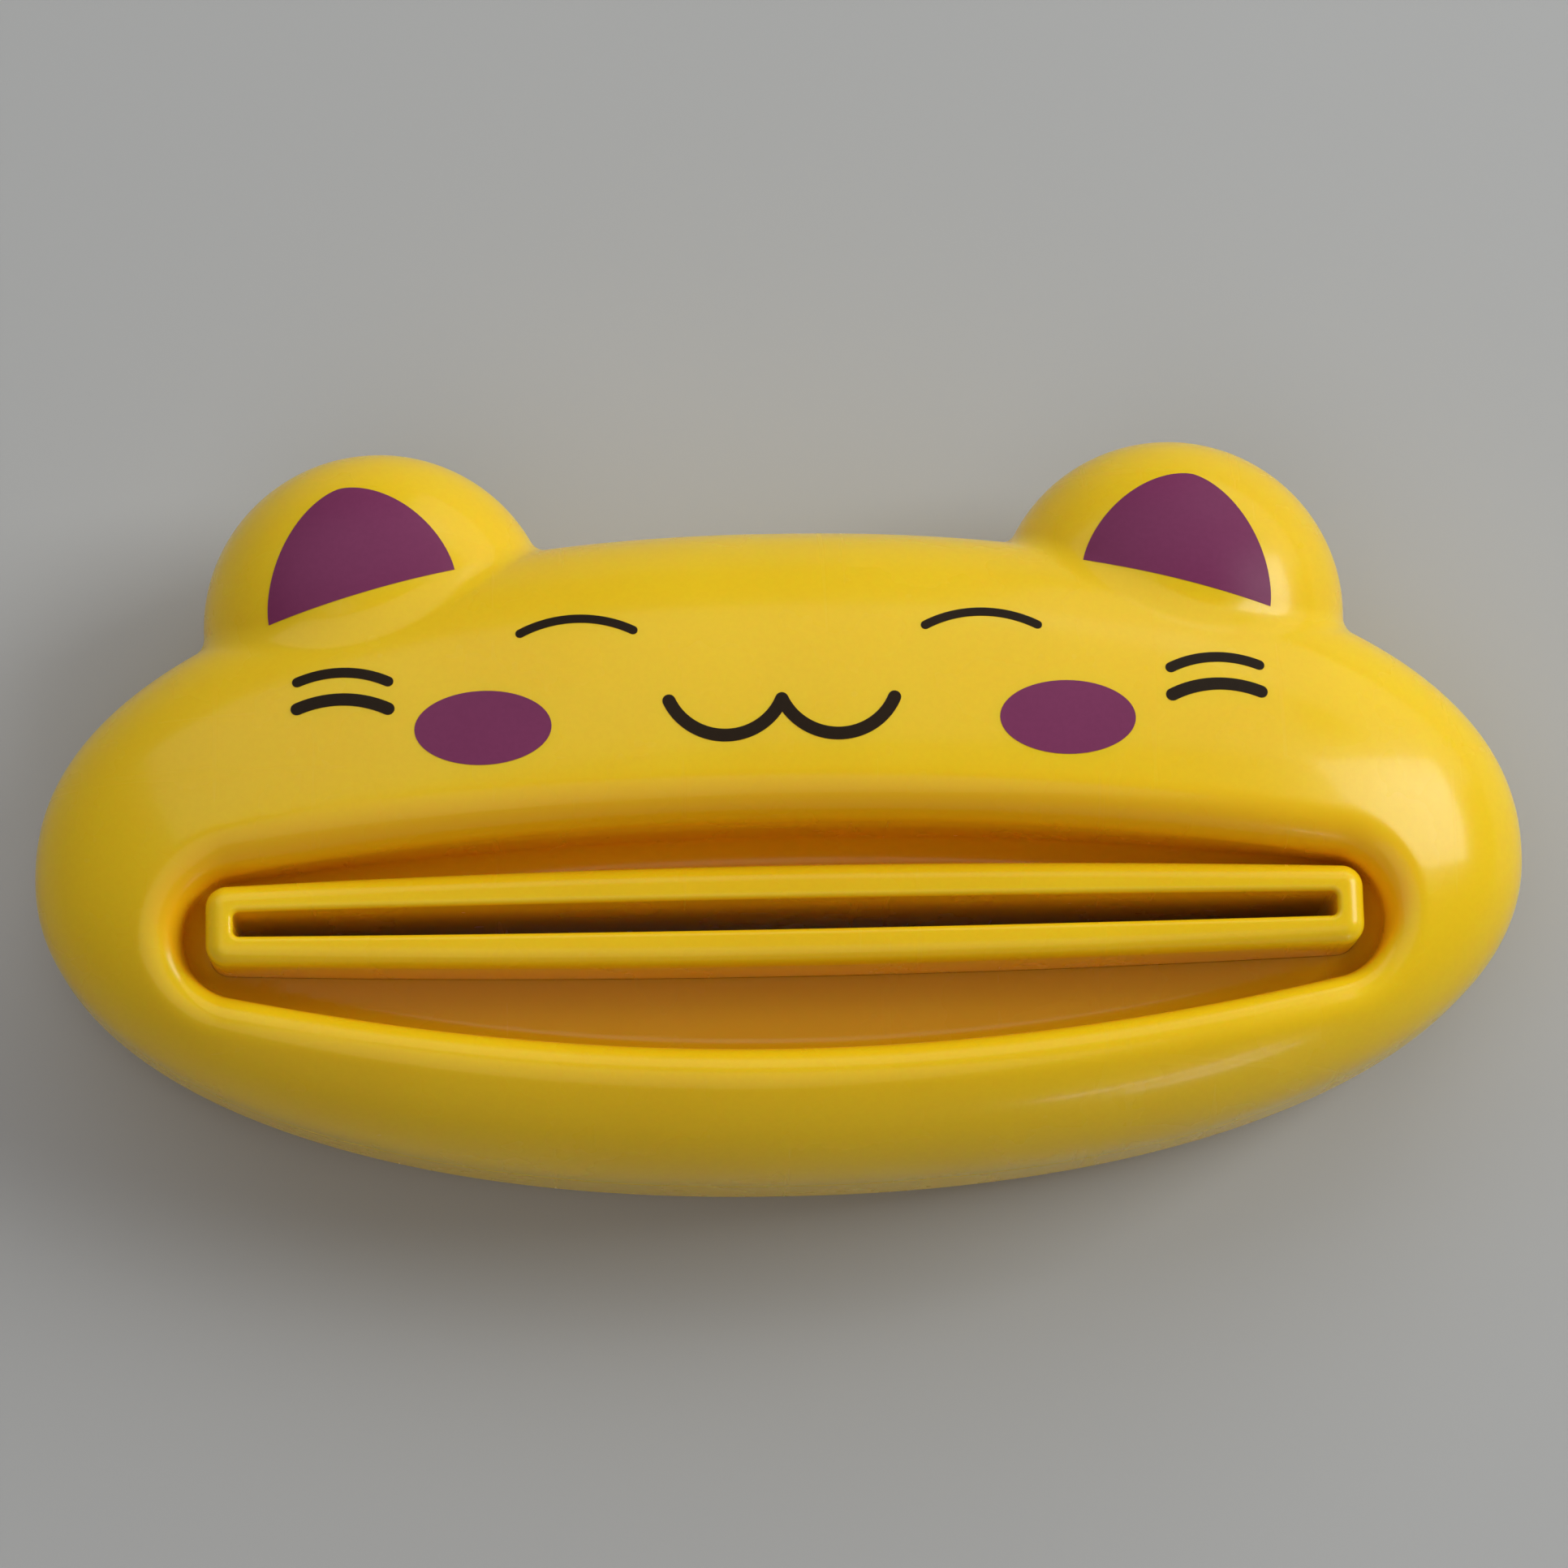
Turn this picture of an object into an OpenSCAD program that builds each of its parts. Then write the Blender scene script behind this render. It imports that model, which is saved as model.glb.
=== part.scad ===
// Toothpaste tube squeezer shaped as a wide animal head, in millimetres.
// It lies on its flat back. The face looks up along +Z and the ears point along +Y.
// The tube's flat end goes through the slot, and the head is pushed along the tube.

/* [Head] */
// Width of the head from side to side
body_w = 98; // [92:0.5:104]
// Height of the brow above the head's middle line
brow_h = 22.25; // [21:0.25:24]
// Drop of the chin below the head's middle line
chin_h = 21.1; // [20.5:0.1:23]
// How far the face bulges in front of the parting plane
face_depth = 13; // [12:0.25:14]
// How far the flat back lies behind the parting plane
rest_depth = 11.6; // [10.5:0.1:12]
// Depth of the back's crown that the flat takes off
back_crown = 1.4; // [1.2:0.1:1.8]
// Fullness of the outline above the middle line, where 2 is an ellipse
brow_full = 2.18; // [2:0.02:2.5]
// Fullness of the outline below the middle line, where 2 is an ellipse
chin_full = 2.13; // [2:0.02:2.5]
// Fullness of the face's section, where 2 is an ellipse
face_full = 2.4; // [2.1:0.1:3]
// Fullness of the back's section, where 2 is an ellipse
back_full = 5; // [4:0.25:6]
// Thickness of the moulded walls
wall = 2; // [1.6:0.1:2.4]

/* [Ears] */
// Radius of an ear
ear_r = 11.6; // [9:0.1:12.2]
// Half the thickness of an ear
ear_half_t = 8.4; // [7.5:0.1:9]
// Distance of an ear's centre from the middle
ear_x = 26.3; // [23:0.1:29]
// How far an ear's centre lies inside the brow's outline
ear_sink = 2.65; // [1.5:0.05:4]

/* [Mouth] */
// Length of the mouth between its end walls
mouth_l = 78; // [76:0.5:80]
// How far the mouth's ends lie below the head's middle line
mouth_low = 5; // [4:0.1:5.5]
// Rise of the mouth's upper wall above its ends
mouth_rise = 6.2; // [5.6:0.1:7]
// Drop of the mouth's lower wall below its ends
mouth_drop = 8.2; // [7:0.1:9]
// Radius of the mouth's round ends
mouth_end_r = 3.9; // [3.6:0.1:4.4]
// Size of the rolled lip round the mouth
lip_r = 3; // [2.4:0.1:3.6]
// Height of the mouth's floor above the parting plane
floor_h = 3.5; // [3:0.1:4]
// Radius between the mouth's wall and floor
floor_r = 1.5; // [1:0.1:2]

/* [Slot] */
// Width of the slot that the tube goes through
slot_w = 71.2; // [66:0.2:72]
// Height of the slot at its middle
slot_h = 2; // [1.6:0.1:2.4]
// Height of the slot at its ends
slot_end_h = 1.6; // [1.2:0.1:2]
// Height of the slot's line above the mouth's ends
slot_lift = 0.5; // [0:0.1:0.8]
// Thickness of the collar above and below the slot
collar_bar = 2.3; // [2:0.1:2.6]
// Thickness of the collar at the slot's ends
collar_end = 1.8; // [1.7:0.1:2]
// How far the collar reaches from the parting plane, to the front and to the back
collar_h = 8.8; // [8:0.1:9.4]
// Radius of the collar's outer edges
collar_edge_r = 1.2; // [0.8:0.1:1.2]
// Radius of the corners at the slot's ends
slot_corner_r = 0.4; // [0.2:0.1:0.6]
// Radius of the collar's corners
collar_corner_r = 1.4; // [1.3:0.1:1.8]
// Radius of the slot's edges
slot_edge_r = 0.4; // [0.3:0.1:0.5]
// How far the sleeve's flange stands out from the collar
flange_out = 1.4; // [1.2:0.1:2]
// Play between the sleeve and the shells
sleeve_play = 0.1; // [0.05:0.05:0.15]

/* [Rim and pins] */
// Height of the tongue that locates the two shells
tongue_h = 1.2; // [0.8:0.1:1.6]
// Thickness of the tongue
tongue_t = 0.8; // [0.6:0.1:0.9]
// How far the tongue stands in from the outline
tongue_in = 1.1; // [1:0.05:1.3]
// How far the tongue's rebate reaches in from the outline
rebate_in = 2.6; // [2.4:0.1:2.8]
// Play between the tongue and its rebate, and of the pins in their sockets
shell_play = 0.05; // [0.05:0.05:0.1]
// Radius of the pins that hold the shells together
pin_r = 1.1; // [0.8:0.1:1.2]
// How far the pins reach into their sockets
pin_l = 3; // [2:0.25:4]
// Radius of the bosses that carry the pins and sockets
boss_r = 2; // [1.9:0.1:2.2]
// Distance of the upper bosses from the middle
top_boss_x = 9; // [7:0.5:11]
// Distance of the lower bosses from the middle
low_boss_x = 18; // [10:1:20]

/* [Print] */
// Thickness of the printed ink
ink_t = 0.1; // [0.06:0.02:0.2]
// Shift of all the black print to the side
black_aside = -0.1; // [-0.5:0.05:0.5]
// Shift of all the purple print to the side
purple_aside = -0.5; // [-0.6:0.05:0.6]
// Distance of an eye's centre from the middle
eye_x = 13.1; // [12:0.1:15]
// Height of an eye's crest
eye_y = 14.8; // [13:0.1:15]
// Width of an eye
eye_w = 7.3; // [6:0.1:9]
// Rise of an eye's arc
eye_rise = 0.95; // [0.6:0.05:1.5]
// Width of an eye's stroke
eye_stroke = 0.6; // [0.4:0.05:0.8]
// Distance of a cheek's centre from the middle
cheek_x = 18.8; // [18:0.1:20]
// Height of a cheek's centre
cheek_y = 7.4; // [7.2:0.1:8]
// Width of a cheek
cheek_w = 8.8; // [7:0.1:9]
// Height of a cheek
cheek_h = 5; // [4:0.1:5.2]
// Height of the lowest points of the smile
smile_y = 6.45; // [6.2:0.05:7.5]
// Width of the whole smile
smile_w = 14.5; // [12:0.1:16]
// Rise of each of its two arcs
smile_rise = 2.4; // [1.8:0.1:2.8]
// Width of the smile's stroke
smile_stroke = 0.85; // [0.5:0.05:1]
// Distance of the whiskers' middle from the middle
whisker_x = 28.2; // [27:0.1:29]
// Height of the upper whisker's crest
whisker_y = 11.65; // [11:0.05:12]
// Spacing of the two whiskers
whisker_gap = 1.9; // [1.8:0.1:2.4]
// Width of the whiskers
whisker_w = 5.9; // [5:0.1:7]
// Rise of a whisker's arc
whisker_rise = 0.65; // [0.4:0.05:1]
// Width of the upper whisker's stroke
whisker_stroke = 0.7; // [0.5:0.05:0.9]
// Width of the lower whisker's stroke
low_whisker_stroke = 0.85; // [0.5:0.05:1]
// Turn of the whiskers, in degrees
whisker_turn = 3; // [0:0.5:8]
// Width of an inner ear along its base
inner_ear_w = 12.6; // [10:0.1:13.2]
// Height of an inner ear above its base
inner_ear_h = 7.7; // [6:0.1:8]
// Place of an inner ear's base, to the side of the ear's centre
inner_ear_x = 0.35; // [0:0.05:0.8]
// Place of an inner ear's base, above the ear's centre
inner_ear_y = 0.45; // [0.2:0.05:1]
// Turn of an inner ear's base, in degrees
inner_ear_turn = -15.5; // [-20:0.5:-10]
// Lean of an inner ear's top towards the middle, as a share of its height
inner_ear_lean = 0.1; // [0:0.01:0.2]
// Fullness of an inner ear's top, where 1 is round and more is peaked
inner_ear_peak = 1.2; // [1:0.05:1.4]
// Straightness of an inner ear's sides, where 1 is round
inner_ear_sides = 1.2; // [1:0.05:1.5]

/* [Hidden] */
yellow = "gold";
purple = "#70355a";
ink = "#241608";

// Rings round the head, across the crown, round the lip and down to the floor
around = 64;
crown_steps = 9;
lip_steps = 5;
fillet_steps = 3;
// Fraction of a lip's size at which its curve is held
round_pull = 0.55;
// Extra length of a cutting solid past the face that it cuts
over = 1;
// Band over which the back's crown blends into its flat
flat_blend = 0.8;
// Depth that is trimmed from the back, so that it is one true plane
flat_trim = 0.1;
back_depth = rest_depth + back_crown;
// Least size of a lip on the inside of the walls
least_lip = 0.6;
// How deep the tongue is rooted in the front shell's wall
tongue_root = 0.5;

// Signed power, for full ellipses
function spow(v, e) = sign(v)*pow(abs(v), e);
function full(y) = y >= 0 ? brow_full : chin_full;
function reach(y) = y >= 0 ? brow_h : chin_h;
// Smaller of two heights, blended over a band
function soft_min(u, v, band) = min(u, v) - pow(max(band - abs(u - v), 0), 2)/(4*band);

// Head outline at the angle p, drawn in by d
function edge_pt(p, d) = [
    (body_w/2 - d)*spow(cos(p), 2/full(sin(p))),
    (reach(sin(p)) - d)*spow(sin(p), 2/full(sin(p)))];
function chin_y(x) = -chin_h*pow(1 - pow(x/(body_w/2), chin_full), 1/chin_full);
function brow_y(x) = brow_h*pow(1 - pow(x/(body_w/2), brow_full), 1/brow_full);
ear_y = brow_y(ear_x) - ear_sink;
mouth_y = -mouth_low;

// The origin is under the middle of the whole outline, on the plane of the back
mid_y = (ear_y + ear_r - chin_h)/2;
module place() {
    translate([0, -mid_y, rest_depth]) children();
}

// Share of the way from the middle to the outline at the point q
function share(q, d) = pow(
    pow(abs(q.x)/(body_w/2 - d), full(q.y)) + pow(abs(q.y)/(reach(q.y) - d), full(q.y)),
    1/full(q.y));
function dome(q, d, deep, power) =
    (deep - d)*pow(max(1 - pow(share(q, d), power), 0), 1/power);

// A side is [depth, fullness, greatest height]
face_side = [face_depth, face_full, 2*face_depth];
back_side = [back_depth, back_full, rest_depth + flat_trim];
function height(q, d, side) =
    soft_min(dome(q, d, side[0], side[1]), side[2] - d, flat_blend);

// A bulged slot: round corners of radius r about [cx, cy], joined by one big arc
// that touches both corners and passes through [0, h]
function bulge_r(cx, cy, r, h) = (cx*cx + (h - cy)*(h - cy) - r*r)/(2*(h - cy - r));
function bulge_touch(cx, cy, r, h) =
    let(big = bulge_r(cx, cy, r, h)) atan2(cy - h + big, cx);

// Mouth wall at the angle p, moved out by d
mouth_cx = mouth_l/2 - mouth_end_r;
function mouth_turn(p) =
    let(h = sin(p) >= 0 ? mouth_rise : mouth_drop,
        x = abs(mouth_l/2*cos(p)),
        big = bulge_r(mouth_cx, 0, mouth_end_r, h),
        touch = bulge_touch(mouth_cx, 0, mouth_end_r, h),
        joint_x = mouth_cx + mouth_end_r*cos(touch))
    x > joint_x ? acos(min((x - mouth_cx)/mouth_end_r, 1)) : acos(x/big);
function mouth_pt(p, d) =
    let(h = sin(p) >= 0 ? mouth_rise : mouth_drop,
        big = bulge_r(mouth_cx, 0, mouth_end_r, h),
        touch = bulge_touch(mouth_cx, 0, mouth_end_r, h),
        turn = mouth_turn(p),
        at_end = turn < touch,
        x = at_end ? mouth_cx + (mouth_end_r + d)*cos(turn) : (big + d)*cos(turn),
        y = at_end ? (mouth_end_r + d)*sin(turn) : h - big + (big + d)*sin(turn))
    [(cos(p) < 0 ? -x : x), mouth_y + (sin(p) < 0 ? -y : y)];

// Point of the lip's curve at the angle p, from 0 on the crown to 1 on the wall
function bezier(a, b, c, e, t) =
    a*pow(1 - t, 3) + b*3*t*pow(1 - t, 2) + c*3*t*t*(1 - t) + e*pow(t, 3);
function lip_size(d) = max(lip_r - d, least_lip);
function crown_end(p, d) = mouth_pt(p, d + lip_size(d));
function lip_pt(p, d, side, t) =
    let(q = crown_end(p, d),
        w = mouth_pt(p, d),
        start = [q.x, q.y, height(q, d, side)],
        corner = [w.x, w.y, height(w, d, side)],
        end = corner - [0, 0, lip_size(d)])
    bezier(start, start + (corner - start)*round_pull,
           end + (corner - end)*round_pull, end, t);

function crown_pt(p, d, side, t) =
    let(run = pow(t, side[1]/2 + 1),
        q = edge_pt(p, d)*(1 - run) + crown_end(p, d)*run)
    [q.x, q.y, t == 0 ? 0 : height(q, d, side)];

// Fillet from the mouth's wall, at angle 0, to its floor, at 90
function floor_pt(p, d, a) =
    let(w = mouth_pt(p, (floor_r + d)*cos(a) - floor_r))
    [w.x, w.y, floor_h + floor_r - (floor_r + d)*sin(a)];

function ring_at(n) = [for (i = [0:n - 1]) 360*i/n];
// Rings of half a head, from the parting plane over the crown to the mouth's floor
function head_rings(d, side, low) = concat(
    low < 0 ? [[for (p = ring_at(around)) let(q = edge_pt(p, d)) [q.x, q.y, low]]] : [],
    [for (j = [0:crown_steps])
        [for (p = ring_at(around)) crown_pt(p, d, side, j/crown_steps)]],
    [for (j = [1:lip_steps])
        [for (p = ring_at(around)) lip_pt(p, d, side, j/lip_steps)]],
    [for (j = [0:fillet_steps])
        [for (p = ring_at(around)) floor_pt(p, d, 90*j/fillet_steps)]]);

// Solid through a stack of rings of equal count, closed by a flat face at each end
module loft(rings) {
    n = len(rings[0]);
    last = len(rings) - 1;
    points = [for (ring = rings) each ring];
    sides = [for (j = [0:last - 1]) for (i = [0:n - 1])
        let(a = j*n + i, b = j*n + (i + 1)%n)
        each [[a, b + n, b], [a, a + n, b + n]]];
    low = [for (i = [0:n - 1]) i];
    high = [for (i = [0:n - 1]) last*n + n - 1 - i];
    polyhedron(points, concat([low, high], sides));
}

module ear_forms(d, low) {
    arc = [for (a = [0:9:90]) [(ear_r - d)*cos(a), (ear_half_t - d)*sin(a)]];
    foot = low < 0 ? [[0, low], [ear_r - d, low]] : [[0, 0]];
    for (s = [-1, 1])
        translate([s*ear_x, ear_y, 0])
            rotate_extrude($fn = 64) polygon(concat(foot, arc));
}

module head_form(d, side, low) {
    loft(head_rings(d, side, low));
    ear_forms(d, low);
}

// Outline of head and ears on the parting plane, drawn in by d
module rim_2d(d) {
    polygon([for (p = ring_at(around)) edge_pt(p, d)]);
    for (s = [-1, 1])
        translate([s*ear_x, ear_y]) circle(ear_r - d, $fn = 64);
}

// Collar outline, moved out by d, as a list of points
slot_y = mouth_y + slot_lift;
collar_cx = slot_w/2 + collar_end - collar_corner_r;
collar_cy = slot_end_h/2 + collar_end - collar_corner_r;
slot_cx = slot_w/2 - slot_corner_r;
slot_cy = slot_end_h/2 - slot_corner_r;
corner_steps = 3;
bulge_steps = 6;
function quarter(cx, cy, r, h, d) =
    let(big = bulge_r(cx, cy, r, h), touch = bulge_touch(cx, cy, r, h))
    concat(
        [for (i = [0:corner_steps])
            let(a = touch*i/corner_steps) [cx + (r + d)*cos(a), cy + (r + d)*sin(a)]],
        [for (i = [1:bulge_steps])
            let(a = touch + (90 - touch)*i/bulge_steps)
            [(big + d)*cos(a), h - big + (big + d)*sin(a)]]);
function four_quarters(q) = let(n = len(q)) [
    for (i = [0:n - 1]) [q[i].x, slot_y + q[i].y],
    for (i = [n - 2:-1:0]) [-q[i].x, slot_y + q[i].y],
    for (i = [0:n - 1]) [-q[i].x, slot_y - q[i].y],
    for (i = [n - 2:-1:0]) [q[i].x, slot_y - q[i].y]];
function collar_2d(d) = four_quarters(
    quarter(collar_cx, collar_cy, collar_corner_r, slot_h/2 + collar_bar, d));
function slot_2d(d) = four_quarters(
    quarter(slot_cx, slot_cy, slot_corner_r, slot_h/2, d));
function lift(ring, z) = [for (q = ring) [q.x, q.y, z]];

// Pins and sockets sit midway between the mouth's wall and the outline
function mouth_at(x, h) =
    let(big = bulge_r(mouth_cx, 0, mouth_end_r, h)) h - big + sqrt(big*big - x*x);
pin_places = [for (s = [-1, 1]) each [
    [s*top_boss_x, (brow_y(top_boss_x) + mouth_y + mouth_at(top_boss_x, mouth_rise))/2],
    [s*low_boss_x, (chin_y(low_boss_x) + mouth_y - mouth_at(low_boss_x, mouth_drop))/2],
    [s*(body_w/2 + mouth_l/2)/2, mouth_y],
    [s*ear_x, ear_y]]];
function ear_top(q) =
    let(s = (pow(abs(q.x) - ear_x, 2) + pow(q.y - ear_y, 2))/pow(ear_r, 2))
    s < 1 ? ear_half_t*sqrt(1 - s) : 0;
// A boss ends inside the wall, under the lowest skin that is over its round top
boss_cover = 0.35;
function boss_top(q, side) = min([for (a = [0:45:315])
    let(s = q + boss_r*[cos(a), sin(a)]) max(height(s, 0, side), ear_top(s))]) - boss_cover;

module front_shell() {
    color(yellow) {
        difference() {
            head_form(0, face_side, 0);
            head_form(wall, face_side, -over);
            translate([0, 0, floor_h - wall - over])
                linear_extrude(wall + 2*over) polygon(collar_2d(sleeve_play));
        }
        translate([0, 0, -tongue_h])
            linear_extrude(tongue_h + tongue_root)
                difference() {
                    rim_2d(tongue_in);
                    rim_2d(tongue_in + tongue_t);
                }
        for (q = pin_places)
            translate([q.x, q.y, 0]) {
                translate([0, 0, shell_play])
                    cylinder(boss_top(q, face_side) - shell_play, r = boss_r, $fn = 32);
                translate([0, 0, -pin_l])
                    cylinder(pin_l + over, r = pin_r, $fn = 32);
            }
    }
}

module rear_shell() {
    color(yellow)
    difference() {
        mirror([0, 0, 1]) {
            difference() {
                head_form(0, back_side, 0);
                head_form(wall, back_side, -over);
                translate([0, 0, floor_h - wall - over])
                    linear_extrude(wall + 2*over) polygon(collar_2d(sleeve_play));
            }
            for (q = pin_places)
                translate([q.x, q.y, shell_play])
                    cylinder(boss_top(q, back_side) - shell_play, r = boss_r, $fn = 32);
        }
        for (q = pin_places)
            translate([q.x, q.y, -pin_l - over/2])
                cylinder(pin_l + over, r = pin_r + shell_play, $fn = 32);
        translate([0, 0, -tongue_h - shell_play])
            linear_extrude(tongue_h + over)
                difference() {
                    rim_2d(tongue_in - shell_play);
                    rim_2d(rebate_in);
                }
        translate([-body_w, -body_w, -rest_depth - over])
            cube([2*body_w, 2*body_w, over]);
    }
}

// Flat sleeve through both floors, with a flange that is held between them
flange_half_t = floor_h - wall - shell_play;
edge_turns = [0, 30, 60, 90];
module slot_sleeve() {
    r = collar_edge_r;
    e = slot_edge_r;
    rounded = [for (a = edge_turns) [-r*(1 - cos(a)), collar_h - r*(1 - sin(a))]];
    half = concat([[flange_out, flange_half_t], [0, flange_half_t]], rounded);
    n = len(half);
    profile = concat([for (i = [n - 1:-1:0]) [half[i][0], -half[i][1]]], half);
    mouth = [for (a = edge_turns) [e*(1 - sin(a)), collar_h - e*(1 - cos(a))]];
    m = len(mouth);
    flare = concat(
        [[e, -collar_h - over]], [for (i = [0:m - 1]) [mouth[i][0], -mouth[i][1]]],
        [for (i = [m - 1:-1:0]) mouth[i]], [[e, collar_h + over]]);
    color(yellow)
    difference() {
        loft([for (s = profile) lift(collar_2d(s[0]), s[1])]);
        loft([for (s = flare) lift(slot_2d(s[0]), s[1])]);
    }
}

// Skin of the brow from x_low to x_high, as thick as the ink, on the very facets
// of the front shell
skin_first = 3;
skin_spare = 3;
module brow_skin(x_low, x_high) {
    near = [for (i = [0:around/2])
        let(p = 360*i/around, a = edge_pt(p, 0).x, b = crown_end(p, 0).x)
        if (max(a, b) > x_low - skin_spare && min(a, b) < x_high + skin_spare) i];
    span = [near[0] - 1, near[len(near) - 1] + 1];
    n = span[1] - span[0] + 1;
    m = crown_steps - skin_first + 1;
    base = [for (j = [skin_first:crown_steps]) for (i = [span[0]:span[1]])
        crown_pt(360*i/around, 0, face_side, j/crown_steps)];
    top = [for (q = base) q + [0, 0, ink_t]];
    k = n*m;
    under = [for (j = [0:m - 2]) for (i = [0:n - 2])
        let(a = j*n + i, b = a + 1)
        each [[b, b + n, a], [b + n, a + n, a]]];
    over_faces = [for (f = under) [f[2] + k, f[1] + k, f[0] + k]];
    border = concat(
        [for (i = [0:n - 1]) i],
        [for (j = [1:m - 1]) j*n + n - 1],
        [for (i = [n - 2:-1:0]) (m - 1)*n + i],
        [for (j = [m - 2:-1:1]) j*n]);
    c = len(border);
    rim = [for (i = [0:c - 1])
        let(a = border[i], b = border[(i + 1)%c])
        each [[a, b + k, b], [a, a + k, b + k]]];
    polyhedron(concat(base, top), concat(under, over_faces, rim));
}

module on_brow(middle, width) {
    intersection() {
        brow_skin(middle - width/2, middle + width/2);
        linear_extrude(2*face_depth) children();
    }
}

// Stroke along an arc of the given chord and rise, crest up, with round ends
stroke_steps = 8;
cap_turns = [0, 45, 90, 135, 180];
function stroke(chord, rise, thick) =
    let(r = (chord*chord/4 + rise*rise)/(2*rise),
        half = asin(chord/2/r),
        centre = [0, -r])
    concat(
        [for (i = [0:stroke_steps]) let(a = 90 - half + 2*half*i/stroke_steps)
            centre + (r + thick/2)*[cos(a), sin(a)]],
        [for (t = cap_turns) if (t > 0 && t < 180) let(a = 90 + half)
            centre + r*[cos(a), sin(a)] + thick/2*[cos(a + t), sin(a + t)]],
        [for (i = [stroke_steps:-1:0]) let(a = 90 - half + 2*half*i/stroke_steps)
            centre + (r - thick/2)*[cos(a), sin(a)]],
        [for (t = cap_turns) if (t > 0 && t < 180) let(a = 90 - half)
            centre + r*[cos(a), sin(a)] + thick/2*[cos(a + 180 + t), sin(a + 180 + t)]]);

module eye(s) {
    x = s*eye_x + black_aside;
    color(ink)
    on_brow(x, eye_w) translate([x, eye_y]) polygon(stroke(eye_w, eye_rise, eye_stroke));
}

module cheek(s) {
    x = s*cheek_x + purple_aside;
    color(purple)
    on_brow(x, cheek_w) translate([x, cheek_y])
        polygon([for (a = [0:10:350]) [cheek_w/2*cos(a), cheek_h/2*sin(a)]]);
}

module whiskers(s) {
    x = s*whisker_x + black_aside;
    color(ink)
    on_brow(x, whisker_w) {
        translate([x, whisker_y]) rotate(s*whisker_turn)
            polygon(stroke(whisker_w, whisker_rise, whisker_stroke));
        translate([x, whisker_y - whisker_gap]) rotate(s*whisker_turn)
            polygon(stroke(whisker_w, whisker_rise, low_whisker_stroke));
    }
}

module smile() {
    color(ink)
    on_brow(black_aside, smile_w)
        for (s = [-1, 1])
            translate([s*smile_w/4 + black_aside, smile_y]) rotate(180)
                polygon(stroke(smile_w/2, smile_rise, smile_stroke));
}

// Rounded dome on a straight base, leaning by a share of its height
function inner_ear_2d() = [for (t = [0:10:180])
    let(v = pow(sin(t), inner_ear_peak))
    [inner_ear_w/2*(spow(cos(t), inner_ear_sides) - inner_ear_lean*v), inner_ear_h*v]];

module inner_ear(s) {
    outer = [for (a = [0:9:90]) [ear_r*cos(a), ear_half_t*sin(a)]];
    profile = concat(
        [for (q = outer) q + [0, ink_t]],
        [for (i = [len(outer) - 1:-1:0]) outer[i]]);
    color(purple)
    difference() {
        intersection() {
            translate([s*ear_x, ear_y, 0]) rotate_extrude($fn = 64) polygon(profile);
            translate([s*(ear_x + inner_ear_x) + purple_aside, ear_y + inner_ear_y, 0])
                mirror([s < 0 ? 1 : 0, 0, 0]) rotate(inner_ear_turn)
                    linear_extrude(2*ear_half_t) polygon(inner_ear_2d());
        }
        loft(head_rings(0, face_side, 0));
    }
}

place() front_shell();
place() rear_shell();
place() slot_sleeve();
place() inner_ear(-1);  // left_inner_ear
place() inner_ear(1);  // right_inner_ear
place() cheek(-1);  // left_cheek
place() cheek(1);  // right_cheek
place() eye(-1);  // left_eye
place() eye(1);  // right_eye
place() smile();
place() whiskers(-1);  // left_whiskers
place() whiskers(1);  // right_whiskers
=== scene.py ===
"""Toothpaste tube squeezer shaped as a wide animal head, lying on its back.

The forms are worked out in millimetres about the head's own middle: x runs across
the head, y from the chin to the ears and z out of the face, with z = 0 on the plane
where the two shells meet. They are turned into metres in the CAD frame at the end.
"""
import math

import bpy
import numpy as np
from mathutils import Matrix, Vector
from mathutils.geometry import delaunay_2d_cdt


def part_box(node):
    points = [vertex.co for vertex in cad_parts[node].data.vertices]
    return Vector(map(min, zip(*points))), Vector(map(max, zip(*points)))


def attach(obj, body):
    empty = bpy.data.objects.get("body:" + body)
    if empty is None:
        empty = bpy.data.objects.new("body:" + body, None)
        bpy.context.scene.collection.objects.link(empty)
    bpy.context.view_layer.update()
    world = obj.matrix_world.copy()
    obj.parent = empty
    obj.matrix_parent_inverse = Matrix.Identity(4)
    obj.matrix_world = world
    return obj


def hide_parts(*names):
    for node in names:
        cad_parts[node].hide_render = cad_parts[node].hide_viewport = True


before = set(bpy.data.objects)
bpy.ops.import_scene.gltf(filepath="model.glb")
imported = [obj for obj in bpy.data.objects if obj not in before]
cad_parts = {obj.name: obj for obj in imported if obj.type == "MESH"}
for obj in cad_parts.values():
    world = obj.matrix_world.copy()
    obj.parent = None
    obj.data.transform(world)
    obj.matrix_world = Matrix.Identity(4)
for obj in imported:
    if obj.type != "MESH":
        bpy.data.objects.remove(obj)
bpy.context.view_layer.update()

MM = 0.001

# Head, ears and mouth, as in the CAD model
BROW_H = 22.25
CHIN_H = 21.1
FACE_DEPTH = 13.0
BACK_CROWN = 1.4
BROW_FULL = 2.18
CHIN_FULL = 2.13
FACE_FULL = 2.4
BACK_FULL = 5.0
WALL = 2.0
EAR_R = 11.6
EAR_HALF_T = 8.4
EAR_X = 26.3
EAR_SINK = 2.65
EAR_FILLET = 0.9
MOUTH_L = 78.0
MOUTH_Y = -5.0
MOUTH_RISE = 6.2
MOUTH_DROP = 8.2
MOUTH_END_R = 3.9
LIP_R = 3.0
FLOOR_H = 3.5
FLOOR_R = 1.5
BACK_BLEND = 0.8

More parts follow.
